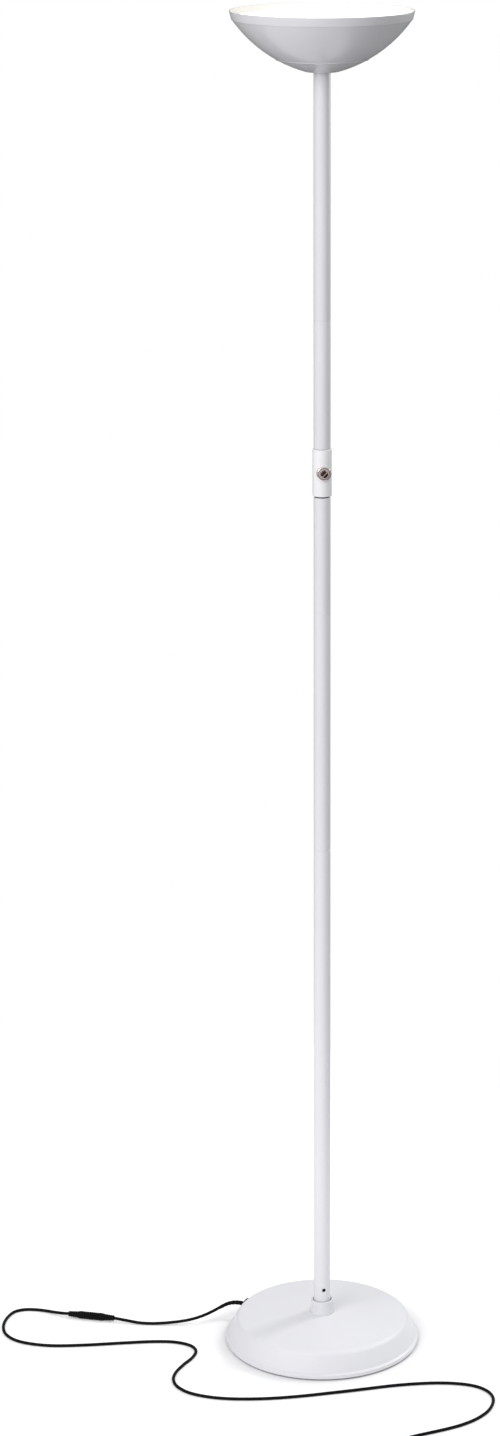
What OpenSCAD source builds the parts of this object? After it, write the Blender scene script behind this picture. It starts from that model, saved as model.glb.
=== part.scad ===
// Torchiere floor lamp: a weighted round base, a screwed pole of six tubes, a collar with a
// rotary dimmer, and a shallow bowl that throws the light of an LED board up through a diffuser.
// The origin is on the floor under the pole, +Z is up, and all sizes are in millimetres.

/* [Overall] */
// Height of the bowl's rim above the floor
lamp_h = 1750; // [1700:5:1800]

/* [Base] */
// Radius of the base at its bottom lip
base_r = 126.5; // [126:0.1:127]
// Height of the base cover's flat seat above the floor
base_h = 37; // [36:0.5:38]
// Wall of the base cover
cover_t = 2; // [1.6:0.1:2.2]
// Slope of the skirt from the horizontal, in degrees
skirt_slope = 64; // [62:0.5:66]
// Radius of the rounded shoulder
shoulder_r = 8; // [6:0.5:10]
// Radius of the cast weight
weight_r = 100; // [80:1:102]

/* [Pole] */
// Outer radius of the pole tubes
pole_r = 10.75; // [10.6:0.05:10.9]
// Wall of the pole tubes
pole_t = 1.2; // [1:0.1:1.3]
// Length of each of the three lowest tubes
section_l = 311; // [300:1:315]

/* [Dimmer collar] */
// Outer radius of the collar that holds the dimmer
collar_r = 12.2; // [12:0.1:12.6]
// Length of the collar
collar_l = 60.2; // [56:0.2:64]
// How far the knob is turned about the pole, to the right of the front, in degrees
knob_yaw = 10; // [0:1:30]
// Outer radius of the bright ring round the knob
bezel_r = 9.2; // [8.6:0.1:9.6]
// Angle of the knob's pointer from straight up, clockwise, in degrees
pointer_angle = 45; // [0:5:90]

/* [Bowl] */
// Radius of the bowl at its rim
bowl_r = 115; // [114.5:0.1:116]
// Height of the bowl
bowl_h = 76; // [75.5:0.1:77]
// Wall of the bowl
bowl_t = 1.2; // [1:0.1:1.4]

/* [Cord] */
// Diameter of the low-voltage lead
cord_d = 4; // [3:0.1:4]
// Length of the adapter's blades
blade_l = 17; // [15:0.5:18]

/* [Hidden] */
$fn = 96;

// Colours
paint = [0.93, 0.93, 0.95];
nickel = [0.74, 0.70, 0.68];
steel = [0.62, 0.63, 0.65];
iron = [0.25, 0.25, 0.27];
rubber = [0.06, 0.06, 0.06];
alu = [0.78, 0.79, 0.80];
glow = [1.0, 0.98, 0.92];
board = [0.93, 0.93, 0.90];

// Clearance of parts that screw or slide together, and the bore for the wire
gap = 0.05;
wire_bore_r = 3.5;
inner_lead_r = 2;

// Base heights
pad_t = 2;
pad_in_r = 70;
pad_out_r = 118;
plate_t = 1.2;
plate_r = base_r - 3;
plate_top = pad_t + plate_t;
lip_h = 4.5;
ledge_slope = 24;
seat_r = 17;
dome_r = base_r - 19;
dome_z = base_h - 5.5;
weight_h = 15.8;
web_t = 4;
web_z = plate_top + weight_h - web_t;
recess_r = 30;
screw_pitch_r = 50;
plate_screw_r = 2;
slot_w = 7;
slot_h = 6.2;

// The base's outline: a flat seat, a domed top, a rounded shoulder, a straight skirt, a sloped
// ledge and a short upright lip. Each part is a line or an arc, so that the same outline moved
// inwards by g gives the inside of the shell.
dome_drop = (dome_r * dome_r + pow(base_h - dome_z, 2) - seat_r * seat_r) / 2 / (base_h - dome_z);
dome_curve = norm([seat_r, dome_drop]);
dome_edge = 90 - asin(dome_r / dome_curve);
seat_edge = 90 - asin(seat_r / dome_curve);
skirt_edge = 90 - skirt_slope;
ledge_edge = 90 - ledge_slope;
shoulder_c = [dome_r, dome_z] - shoulder_r * way(dome_edge);

function way(a) = [cos(a), sin(a)];
function meet(a1, d1, a2, d2) =
    [d1 * sin(a2) - d2 * sin(a1), d2 * cos(a1) - d1 * cos(a2)] / sin(a2 - a1);
function ledge_d(g) = way(ledge_edge) * [base_r, pad_t + lip_h] - g;
function skirt_d(g) = way(skirt_edge) * shoulder_c + shoulder_r - g;
function arc(c, r, from, to, n) = [for (k = [0:n]) c + r * way(from + (to - from) * k / n)];
function base_outline(g) = concat(
    [[0, pad_t], [base_r - g, pad_t]],
    [meet(0, base_r - g, ledge_edge, ledge_d(g))],
    [meet(ledge_edge, ledge_d(g), skirt_edge, skirt_d(g))],
    arc(shoulder_c, shoulder_r - g, skirt_edge, dome_edge, 10),
    arc([0, base_h - dome_drop], dome_curve - g, dome_edge, seat_edge, 10),
    [[0, base_h - g]]
);

// Where the cord leaves the base
exit_azimuth = 151;
exit_z = 20;
exit_r = 119;
neck_r = 3.5;
flange_r = 8.5;
flange_t = 2.4;
boot_r = 2.9;
boot_tip_r = 2.2;

// Stem and neck
stem_r = 5;
stem_z = 8;
stem_hole_r = stem_r + 0.2;
stem_nut_r = 8;
stem_washer_r = 9;
nut_h = 5;
washer_t = 1.5;
socket_floor = base_h + 11.5;
socket_top = base_h + 17.5;
socket_r = 14.3;
socket_foot_r = 15.8;
socket_bore_r = 12.3;
spigot_top = 92;
foot_screw_z = 70;
foot_screw_azimuth = -75;
foot_screw_r = 2.3;
foot_screw_end = 9.4;

// Pole heights
bore_r = pole_r - pole_t;
foot_z = socket_floor + 0.5;
seam_1 = foot_z + section_l;
seam_2 = seam_1 + section_l;
seam_3 = seam_2 + section_l;
collar_z = 1137.4;
collar_gap = 1.8;
collar_top = collar_z + collar_l;
tube_5_z = collar_top + 0.6;
seam_4 = 1361.5;
bowl_z = lamp_h - bowl_h;
pole_top = bowl_z - 1.5;
plug_l = 16;
male_r = 7.9;
male_l = 12;
SEAMS = [seam_1, seam_2, seam_3, seam_4];

// Dimmer: sizes along the knob's axis are measured outwards from the pole's axis
knob_z = 1168;
collar_bore_r = 10.75;
dimmer_w = 15;
dimmer_h = 16;
dimmer_back = -6.6;
dimmer_front = 7.4;
bushing_r = 3.5;
bushing_end = collar_r + 0.3;
bezel_bore_r = 6.25;
bezel_end = 15.2;
shaft_r = 3;
shaft_start = 5;
dish_r = 6.1;
dish_start = 13;
dish_end = 15;
dish_floor = 14;
grip_w = 7.4;
grip_end = 20.4;
pointer_w = 2;
pointer_end = 20.8;

// Bowl: its side is one arc, from the flat bottom to a small step under the lip
flat_r = 21;
bowl_curve_r = 167;
bowl_curve_c = [-25.1, bowl_z + 160.5];
step_h = 64;
lip_foot = [bowl_r - 2.4, bowl_z + 65.3];
ledge_z = bowl_z + 65.5;
ledge_r = bowl_r - 5.6;
diffuser_t = 2.5;
diffuser_r = bowl_r - 3.8;

// Light engine inside the bowl
bracket_t = 2;
bracket_r = 19.5;
bracket_z = bowl_z + bowl_t;
sink_z = bowl_z + 26;
sink_t = 3;
sink_r = 68;
board_z = sink_z + sink_t;
board_t = 1.6;
post_pitch_r = 15.5;
post_r = 2.5;
carrier_screw_r = 1.5;
head_nut_z = bracket_z + bracket_t + 1.2;
head_nut_r = 7;
head_washer_r = 8.5;
driver_x = 22;
driver_size = [24, 36, 12];

// The cord's route from the base to the connector. The first five points lie in the boot.
lamp_route = [
    [-104.1, 57.7, 20], [-111, 61.1, 20], [-118.7, 62.3, 19.6], [-127, 60.2, 18.6],
    [-137, 54, 16.2], [-147.5, 47.3, 13.3], [-159.5, 41.8, 10.2], [-172, 38.4, 7.5],
    [-185, 36.8, 5.4], [-199, 36.1, 3.8], [-214, 36, 2.6], [-229, 36.3, 2.1],
    [-244, 37.5, 2.6], [-259, 41, 3.8], [-277, 46, 5.05]
];
boot_points = 5;
connector_end = [-338.5, 59.7, 5.05];

// The adapter's lead, from the connector round the front of the base to the coil
adapter_route = [
    connector_end, [-347, 62.3, 4.4], [-357.5, 67.6, 3.2], [-370, 74, 2.3], [-384, 78, 2.05],
    [-400, 78, 2.05], [-413, 70, 2.05], [-421, 50, 2.05], [-423, 27, 2.05],
    [-418, 5, 2.05], [-404, -13, 2.05], [-382, -24, 2.05], [-352, -29.5, 2.05],
    [-310, -27.5, 2.05], [-262, -21.5, 2.05], [-222, -17.5, 2.05], [-194, -19, 2.05],
    [-173, -29, 2.05], [-165, -45, 2.05], [-169, -64, 2.05], [-180, -85, 2.05],
    [-189, -107, 2.05], [-191, -128, 2.05], [-184, -148, 2.05], [-165, -166, 2.05],
    [-130, -178, 2.05], [-85, -180, 2.05], [-35, -174, 2.05], [30, -159, 2.05],
    [100, -141.5, 2.05], [153, -136, 2.05], [192, -143, 2.05], [213, -162, 2.05],
    [217, -189, 2.05], [204, -222, 2.05], [172, -252, 2.05], [113, -281, 2.05],
    [83, -298, 2.05], [50, -313.7, 2.15], [11, -328.7, 2.6]
];
ring_gap = 27;

// The coil of the rest of the lead, its tie and the plug-in adapter
coil_c = [20, -352];
coil_in_r = 15;
coil_out_r = 27;
coil_z = 0.6;
coil_h = 12;
coil_round = 1.8;
tie_t = 0.55;
tie_w = 6;
tie_azimuth = 45;
adapter_x = 53;
adapter_y = -377;
adapter_size = [64, 40, 26];
adapter_boot_x = 29.4;
adapter_boot_z = 10.6;
adapter_boot_r = 4;

// Turns z to point along v
module aim(v) {
    rotate([0, acos(v.z / norm(v)), atan2(v.y, v.x)]) children();
}

// A turned ring or pipe
module pipe(r_out, r_in, z_low, z_high) {
    translate([0, 0, z_low]) difference() {
        cylinder(r = r_out, h = z_high - z_low);
        translate([0, 0, -1]) cylinder(r = r_in, h = z_high - z_low + 2);
    }
}

// A round wire that turns at each of its points
module wire(points, r) {
    for (i = [0:len(points) - 2]) {
        along = points[i + 1] - points[i];
        translate(points[i]) aim(along) cylinder(r = r, h = norm(along));
    }
    for (i = [1:len(points) - 2]) {
        translate(points[i]) sphere(r = r, $fn = 48);
    }
}

// A round cord swept along a route: a smooth curve runs through the route's points
function held(p, i) = p[min(max(i, 0), len(p) - 1)];
function smooth(a, b, c, d, t) = 0.5 * (2 * b + (c - a) * t
    + (2 * a - 5 * b + 4 * c - d) * t * t + (3 * b - a - 3 * c + d) * t * t * t);
function between(p, i, t) = smooth(held(p, i - 1), p[i], p[i + 1], held(p, i + 2), t);
function steps(p, i, most) = ceil(norm(p[i + 1] - p[i]) / most);
function path(p, most) = [
    for (i = [0:len(p) - 2]) for (k = [0:steps(p, i, most) - 1]) between(p, i, k / steps(p, i, most)),
    p[len(p) - 1]
];
function unit(v) = v / norm(v);
function heading(p, i) = unit(held(p, i + 1) - held(p, i - 1));
function ring(c, dir, r, sides) = let (side = unit(cross([0, 0, 1], dir)), up = cross(dir, side))
    [for (a = [0:sides - 1]) c + r * (cos(a * 360 / sides) * side + sin(a * 360 / sides) * up)];

module swept(p, r_start, r_end, sides) {
    last = len(p) - 1;
    rings = [for (i = [0:last]) ring(p[i], heading(p, i), r_start + (r_end - r_start) * i / last, sides)];
    walls = [for (i = [0:last - 1]) for (k = [0:sides - 1])
        let (next = (k + 1) % sides)
        [i * sides + k, (i + 1) * sides + k, (i + 1) * sides + next, i * sides + next]];
    start_cap = [for (k = [0:sides - 1]) k];
    end_cap = [for (k = [0:sides - 1]) last * sides + sides - 1 - k];
    polyhedron([for (one = rings) each one], concat(walls, [start_cap, end_cap]));
}

// Base

module base_pad() {
    color(rubber) pipe(pad_out_r, pad_in_r, 0, pad_t);
}

module bottom_plate() {
    color(steel) difference() {
        translate([0, 0, pad_t]) cylinder(r = plate_r, h = plate_t);
        at_plate_screws() cylinder(r = plate_screw_r + 0.2, h = 20);
    }
}

module at_plate_screws() {
    for (a = [60, 180, 300]) rotate([0, 0, a]) translate([screw_pitch_r, 0, 0]) children();
}

module plate_screws() {
    head_r = 4;
    color(steel) at_plate_screws() difference() {
        union() {
            translate([0, 0, 0.6]) cylinder(r1 = head_r - 0.8, r2 = head_r, h = 0.6);
            translate([0, 0, 1.2]) cylinder(r = head_r, h = 0.8);
            translate([0, 0, 2]) cylinder(r = plate_screw_r, h = 12);
        }
        translate([0, 0, 0.5]) cylinder(r = 1.2, h = 1.1, $fn = 6);
    }
}

module base_weight() {
    color(iron) difference() {
        union() {
            translate([0, 0, plate_top]) cylinder(r = weight_r, h = weight_h - 3);
            translate([0, 0, plate_top + weight_h - 3]) cylinder(r1 = weight_r, r2 = weight_r - 5, h = 3);
            cylinder_from(seat_r - 1, web_z, base_h - cover_t);
        }
        cylinder_from(recess_r, -1, web_z);
        translate([0, 0, -1]) cylinder(r = stem_hole_r, h = base_h + 2);
        at_plate_screws() cylinder(r = plate_screw_r + gap, h = 14.5);
        rotate([0, 0, exit_azimuth]) translate([0, -slot_w / 2, -1])
            cube([weight_r + 1, slot_w, plate_top + slot_h + 1]);
    }
}

module cylinder_from(r, z_low, z_high) {
    translate([0, 0, z_low]) cylinder(r = r, h = z_high - z_low);
}

module base_cover() {
    hollow = concat([[0, 0], [base_r - cover_t, 0]], tail(base_outline(cover_t), 2));
    color(paint) difference() {
        rotate_extrude($fn = 180) polygon(base_outline(0));
        rotate_extrude($fn = 180) polygon(hollow);
        cylinder(r = stem_hole_r, h = base_h + 1);
        at_exit(weight_r + 5) cylinder(r = neck_r + gap, h = 30);
    }
}

function tail(list, from) = [for (i = [from:len(list) - 1]) list[i]];

// The cord's way out of the base, starting at a distance from the pole's axis
module at_exit(r) {
    rotate([0, 0, exit_azimuth]) translate([r, 0, exit_z]) rotate([0, 90, 0]) children();
}

module cord_grip() {
    color(rubber) {
        difference() {
            union() {
                intersection() {
                    rotate_extrude($fn = 180) polygon(base_outline(-flange_t));
                    at_exit(weight_r + 5) cylinder(r = flange_r, h = 30);
                }
                swept(path([for (i = [0:boot_points - 1]) lamp_route[i]], 3), boot_r, boot_tip_r, 24);
            }
            rotate_extrude($fn = 180) polygon(base_outline(0));
        }
        at_exit(exit_r - 8) cylinder(r = neck_r, h = 8.1);
        at_exit(exit_r - 8) cylinder(r = neck_r + 1.5, h = 1.4);
    }
}

module base_stem() {
    color(steel) difference() {
        union() {
            cylinder_from(stem_r, stem_z, socket_floor + 1);
            cylinder_from(bore_r - 0.1, socket_floor, spigot_top - 1);
            translate([0, 0, spigot_top - 1]) cylinder(r1 = bore_r - 0.1, r2 = bore_r - 1.1, h = 1);
        }
        translate([0, 0, stem_z - 1]) cylinder(r = wire_bore_r, h = spigot_top);
        at_foot_screw() cylinder_from(foot_screw_r + gap, 5, 15);
    }
}

module stem_washer() {
    color(steel) pipe(stem_washer_r, stem_hole_r, web_z - washer_t, web_z);
}

module stem_nut() {
    color(steel) hex_nut(stem_nut_r, stem_r + gap, web_z - washer_t - nut_h, nut_h);
}

module hex_nut(across_r, hole_r, z, h) {
    translate([0, 0, z]) difference() {
        cylinder(r = across_r / cos(30), h = h, $fn = 6);
        translate([0, 0, -1]) cylinder(r = hole_r, h = h + 2);
    }
}

module neck_socket() {
    rim = 1.2;
    color(paint) rotate_extrude() polygon(concat(
        [[stem_hole_r, base_h], [socket_foot_r, base_h], [socket_foot_r - 0.5, base_h + 2]],
        arc([socket_r - rim, socket_top - rim], rim, 0, 90, 5),
        arc([socket_bore_r + 0.6, socket_top - 0.6], 0.6, 90, 180, 4),
        [[socket_bore_r, socket_floor], [stem_hole_r, socket_floor]]
    ));
}

// The grub screw that locks the pole on its stem: z points outwards
module at_foot_screw() {
    translate([0, 0, foot_screw_z]) rotate([0, 0, foot_screw_azimuth]) rotate([0, 90, 0]) children();
}

module foot_screw() {
    color(steel) at_foot_screw() difference() {
        cylinder_from(foot_screw_r, 5.2, foot_screw_end);
        translate([0, 0, foot_screw_end - 2.5]) cylinder(r = 1.4, h = 3, $fn = 6);
    }
}

// Pole

module tube(z_low, z_high) {
    color(paint) pipe(pole_r, bore_r, z_low, z_high);
}

module tube_1() {
    color(paint) difference() {
        pipe(pole_r, bore_r, foot_z, seam_1);
        at_foot_screw() cylinder_from(foot_screw_r + gap, 5, 15);
        at_foot_screw() translate([0, 0, foot_screw_end]) cylinder(r1 = foot_screw_r, r2 = 4.4, h = 2.1);
    }
}

// A turned plug, pressed into the tube below a seam, with a threaded spigot above it
module joint_plug(z) {
    color(steel) difference() {
        union() {
            cylinder_from(bore_r - gap, z - plug_l, z);
            cylinder_from(male_r, z, z + male_l - 1);
            translate([0, 0, z + male_l - 1]) cylinder(r1 = male_r, r2 = male_r - 1, h = 1);
        }
        cylinder_from(wire_bore_r, z - plug_l - 1, z + male_l + 1);
    }
}

// The threaded socket in the tube above a seam
module joint_socket(z) {
    color(steel) difference() {
        cylinder_from(bore_r - gap, z, z + plug_l);
        cylinder_from(male_r + 2 * gap, z - 1, z + male_l + 1);
        cylinder_from(wire_bore_r, z, z + plug_l + 1);
    }
}

module neck_lower() {
    low = collar_z - collar_gap;
    color(steel) difference() {
        union() {
            cylinder_from(bore_r - gap, low - plug_l, low);
            cylinder_from(bore_r - 0.35, low, collar_z);
            cylinder_from(collar_bore_r - gap, collar_z, collar_z + 8);
        }
        cylinder_from(wire_bore_r, low - plug_l - 1, collar_z + 9);
    }
}

module neck_upper() {
    color(steel) difference() {
        union() {
            cylinder_from(collar_bore_r - gap, collar_top - 8, collar_top);
            cylinder_from(bore_r - 0.35, collar_top, tube_5_z);
            cylinder_from(bore_r - gap, tube_5_z, tube_5_z + plug_l);
        }
        cylinder_from(wire_bore_r, collar_top - 9, tube_5_z + plug_l + 1);
    }
}

// Dimmer collar: in at_knob, z points outwards along the knob's axis and y points up

module at_knob() {
    translate([0, 0, knob_z]) rotate([0, 0, knob_yaw]) rotate([90, 0, 0]) children();
}

module at_pointer() {
    at_knob() rotate([0, 0, -pointer_angle]) children();
}

module switch_housing() {
    edge = 0.8;
    color(paint) difference() {
        rotate_extrude() polygon(concat(
            [[collar_bore_r, collar_z]],
            arc([collar_r - edge, collar_z + edge], edge, -90, 0, 4),
            arc([collar_r - edge, collar_top - edge], edge, 0, 90, 4),
            [[collar_bore_r, collar_top]]
        ));
        at_knob() cylinder(r = bushing_r + 0.1, h = 20);
    }
}

module dimmer_body() {
    color(rubber) at_knob() difference() {
        translate([-dimmer_w / 2, -dimmer_h / 2, dimmer_back])
            cube([dimmer_w, dimmer_h, dimmer_front - dimmer_back]);
        translate([0, 0, shaft_start - 0.4]) cylinder(r = shaft_r + 0.3, h = 10);
    }
}

module dimmer_bushing() {
    color(steel) at_knob() pipe(bushing_r, shaft_r + gap, dimmer_front, bushing_end);
}

module bezel_ring() {
    edge = 1.3;
    color(nickel) difference() {
        at_knob() rotate_extrude() polygon(concat(
            [[bezel_bore_r, 4], [bezel_r, 4]],
            arc([bezel_r - edge, bezel_end - edge], edge, 0, 90, 6),
            [[bezel_bore_r + 0.5, bezel_end], [bezel_bore_r, bezel_end - 0.5]]
        ));
        cylinder_from(collar_r + 0.01, collar_z, collar_top);
    }
}

module dimmer_shaft() {
    color(steel) at_knob() cylinder_from(shaft_r, shaft_start, grip_end - 3);
}

module knob_dish() {
    color(nickel) at_knob() rotate_extrude() polygon([
        [shaft_r + 0.02, dish_start], [dish_r - 0.3, dish_start], [dish_r, dish_start + 0.3],
        [dish_r, dish_end - 0.3], [dish_r - 0.3, dish_end], [dish_r - 0.9, dish_end],
        [dish_r - 1.7, dish_floor], [shaft_r + 0.02, dish_floor]
    ]);
}

module knob_grip() {
    edge = 1.4;
    grip_r = grip_w * 0.62;
    color([0.13, 0.09, 0.08]) at_pointer() difference() {
        intersection() {
            translate([-grip_w / 2, -grip_w / 2, dish_floor]) cube([grip_w, grip_w, 20]);
            rotate_extrude() polygon(concat(
                [[0, dish_floor], [dish_r - 1.8, dish_floor], [dish_r - 1.8, bezel_end + 0.4]],
                [[grip_r, bezel_end + 0.8]],
                arc([grip_r - edge, grip_end - edge], edge, 0, 90, 6),
                [[0, grip_end]]
            ));
        }
        cylinder_from(shaft_r + 0.02, dish_floor - 1, grip_end - 3);
        translate([-pointer_w / 2, -grip_w, grip_end - 0.8]) cube([pointer_w, 2 * grip_w, 2]);
    }
}

module knob_pointer() {
    long = grip_w - 0.8;
    color(nickel) at_pointer() translate([-pointer_w / 2, -long / 2, grip_end - 0.8])
        cube([pointer_w, long, pointer_end - grip_end + 0.8]);
}

// Head

module top_plug() {
    color(paint) difference() {
        union() {
            cylinder_from(bore_r - gap, pole_top - plug_l, pole_top);
            cylinder_from(pole_r + 0.5, pole_top, bowl_z);
        }
        cylinder_from(stem_r + gap, pole_top - plug_l + 4, bowl_z + 1);
        cylinder_from(wire_bore_r, pole_top - plug_l - 1, bowl_z);
    }
}

module head_nipple() {
    color(steel) pipe(stem_r, wire_bore_r, pole_top - plug_l + 4, head_nut_z + 6.6);
}

module bowl_shell() {
    c = bowl_curve_c;
    low = -acos((flat_r - c.x) / bowl_curve_r);
    high = -asin((c.y - bowl_z - step_h) / bowl_curve_r);
    in_curve = bowl_curve_r - bowl_t;
    in_low = -asin((c.y - bowl_z - bowl_t) / in_curve);
    in_high = -asin((c.y - ledge_z + 2.4) / in_curve);
    color(paint) difference() {
        rotate_extrude($fn = 180) polygon(concat(
            [[0, bowl_z], [flat_r, bowl_z]],
            arc(c, bowl_curve_r, low + 1, high, 24),
            [lip_foot],
            arc([bowl_r - 0.7, lamp_h - 0.7], 0.7, 0, 180, 6),
            [[diffuser_r + 0.2, ledge_z], [ledge_r, ledge_z]],
            arc(c, in_curve, in_high, in_low, 24),
            [[0, bowl_z + bowl_t]]
        ));
        translate([0, 0, bowl_z - 1]) cylinder(r = stem_hole_r, h = 10);
    }
}

module led_bracket() {
    color(steel) pipe(bracket_r, stem_hole_r, bracket_z, bracket_z + bracket_t);
}

module head_washer() {
    color(steel) pipe(head_washer_r, stem_hole_r, bracket_z + bracket_t, head_nut_z);
}

module head_nut() {
    color(steel) hex_nut(head_nut_r, stem_r + gap, head_nut_z, nut_h);
}

module at_posts() {
    for (a = [30, 150, 270]) rotate([0, 0, a]) translate([post_pitch_r, 0, 0]) children();
}

module carrier_posts() {
    color(steel) at_posts() difference() {
        cylinder_from(post_r, bracket_z + bracket_t, sink_z);
        cylinder_from(carrier_screw_r + gap, sink_z - 10, sink_z + 1);
    }
}

module carrier_screws() {
    color(steel) at_posts() {
        cylinder_from(carrier_screw_r, sink_z - 9, board_z + 0.1);
        translate([0, 0, board_z]) cylinder(r1 = 2.8, r2 = 2, h = 1.6);
    }
}

module heat_sink() {
    fin_t = 1.6;
    color(alu) difference() {
        union() {
            cylinder_from(sink_r, sink_z, board_z);
            intersection() {
                pipe(54, 26, sink_z - 6, sink_z + 1);
                for (y = [-48:8:48]) translate([-60, y - fin_t / 2, sink_z - 6]) cube([58, fin_t, 6.5]);
            }
        }
        at_posts() cylinder_from(carrier_screw_r + gap, sink_z - 1, board_z + 1);
    }
}

module led_board() {
    color(board) pipe(62, 21, board_z, board_z + board_t);
}

module led_chips() {
    chip = 3.5;
    color([0.95, 0.85, 0.35]) for (row = [[28, 8], [42, 12], [55, 16]]) {
        for (k = [0:row[1] - 1]) rotate([0, 0, k * 360 / row[1]])
            translate([row[0] - chip / 2, -chip / 2, board_z + board_t]) cube([chip, chip, 0.7]);
    }
}

module reflector() {
    wall = 0.8;
    low_r = 62.5;
    foot_r = 67;
    top = [bowl_r - 6.5, ledge_z - 1];
    color(board) rotate_extrude() polygon([
        [low_r, board_z], [foot_r, board_z], top, [top.x - wall, top.y],
        [foot_r - wall, board_z + wall], [low_r, board_z + wall]
    ]);
}

module diffuser() {
    color(glow) cylinder_from(diffuser_r, ledge_z, ledge_z + diffuser_t);
}

module led_driver() {
    color(board) translate([driver_x, -driver_size.y / 2, sink_z - driver_size.z]) cube(driver_size);
}

// Leads held inside the lamp

module inner_lead_lower() {
    low = plate_top + 2.6;
    rise_x = 109;
    color(rubber) rotate([0, 0, exit_azimuth]) wire([
        [0, 0, knob_z - dimmer_h / 2], [0, 0, low], [rise_x, 0, low], [rise_x, 0, exit_z],
        [exit_r - 8, 0, exit_z]
    ], inner_lead_r);
}

module inner_lead_upper() {
    high = sink_z - 7;
    color(rubber) wire([[0, 0, knob_z + dimmer_h / 2], [0, 0, high], [driver_x, 0, high]], inner_lead_r);
}

// Cord and adapter

module lamp_lead() {
    free = [for (i = [boot_points - 1:len(lamp_route) - 1]) lamp_route[i]];
    color(rubber) swept(path(free, ring_gap), cord_d / 2, cord_d / 2, 8);
}

module adapter_lead() {
    color(rubber) swept(path(adapter_route, ring_gap), cord_d / 2, cord_d / 2, 8);
}

// The two halves of the connector meet in the middle, and their cords leave at the far ends
connector_start = lamp_route[len(lamp_route) - 1];
half_l = norm(connector_end - connector_start) / 2;
barrel_r = 5;
tip_r = 2.75;
tip_l = 9.5;

module at_connector(from, to) {
    translate(from) aim(to - from) children();
}

module connector_half() {
    rotate_extrude($fn = 48) polygon([
        [0, 0], [2.7, 0], [3, 1], [3.5, 7], [4, 13.5], [4.5, 14.5], [barrel_r, 17.5],
        [barrel_r, half_l - 1], [barrel_r - 0.2, half_l], [0, half_l]
    ]);
}

module lead_jack() {
    color(rubber) at_connector(connector_start, connector_end) difference() {
        connector_half();
        cylinder_from(tip_r + gap, half_l - tip_l - 0.5, half_l + 1);
    }
}

module lead_plug() {
    color(rubber) at_connector(connector_end, connector_start) {
        connector_half();
        cylinder_from(tip_r, half_l - 0.1, half_l + tip_l);
    }
}

module lead_coil() {
    b = coil_round;
    color(rubber) translate([coil_c.x, coil_c.y, coil_z]) rotate_extrude() polygon([
        [coil_in_r + b, 0], [coil_out_r - b, 0], [coil_out_r, b], [coil_out_r, coil_h - b],
        [coil_out_r - b, coil_h], [coil_in_r + b, coil_h], [coil_in_r, coil_h - b], [coil_in_r, b]
    ]);
}

module coil_tie() {
    in_x = coil_in_r - 0.4;
    out_x = coil_out_r + 0.05;
    across = out_x - in_x;
    color([0.12, 0.12, 0.13]) translate([coil_c.x, coil_c.y, 0]) rotate([0, 0, tie_azimuth]) difference() {
        translate([in_x - tie_t, -tie_w / 2, 0]) cube([across + 2 * tie_t, tie_w, coil_h + 2 * coil_z]);
        translate([in_x, -tie_w, coil_z]) cube([across, 2 * tie_w, coil_h]);
    }
}

module adapter_body() {
    corner = 5;
    color(rubber) {
        translate([adapter_x, adapter_y - adapter_size.y / 2, 0]) linear_extrude(adapter_size.z)
            offset(corner, $fn = 32) offset(-corner) square([adapter_size.x, adapter_size.y]);
        translate([adapter_boot_x, coil_c.y - coil_out_r + cord_d / 2, adapter_boot_z]) rotate([0, 90, 0])
            cylinder(r1 = boot_tip_r + 0.3, r2 = adapter_boot_r, h = adapter_x - adapter_boot_x + 0.1);
    }
}

module adapter_blades() {
    blades_x = adapter_x + 49;
    half_pitch = 6.35;
    blade_w = 6.35;
    blade_t = 1.5;
    color(steel) for (side = [-1, 1]) {
        translate([blades_x, adapter_y + side * half_pitch - blade_t / 2, adapter_size.z])
            cube([blade_w, blade_t, blade_l]);
    }
}

base_pad();
bottom_plate();
plate_screws();
base_weight();
base_cover();
base_stem();
stem_nut();
stem_washer();
neck_socket();
foot_screw();
cord_grip();
tube_1();
tube(seam_1, seam_2);  // tube_2
tube(seam_2, seam_3);  // tube_3
tube(seam_3, collar_z - collar_gap);  // tube_4
tube(tube_5_z, seam_4);  // tube_5
tube(seam_4, pole_top);  // tube_6
joint_plug(SEAMS[0]);  // joint_plug_1
joint_plug(SEAMS[1]);  // joint_plug_2
joint_plug(SEAMS[2]);  // joint_plug_3
joint_plug(SEAMS[3]);  // joint_plug_4
joint_socket(SEAMS[0]);  // joint_socket_1
joint_socket(SEAMS[1]);  // joint_socket_2
joint_socket(SEAMS[2]);  // joint_socket_3
joint_socket(SEAMS[3]);  // joint_socket_4
neck_lower();
neck_upper();
switch_housing();
dimmer_body();
dimmer_bushing();
bezel_ring();
dimmer_shaft();
knob_dish();
knob_grip();
knob_pointer();
top_plug();
head_nipple();
bowl_shell();
head_washer();
head_nut();
led_bracket();
carrier_posts();
heat_sink();
carrier_screws();
led_board();
led_chips();
reflector();
diffuser();
led_driver();
inner_lead_lower();
inner_lead_upper();
lamp_lead();
lead_jack();
lead_plug();
adapter_lead();
lead_coil();
coil_tie();
adapter_body();
adapter_blades();
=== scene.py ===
import math

import bmesh
import bpy
from mathutils import Matrix, Vector


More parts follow.
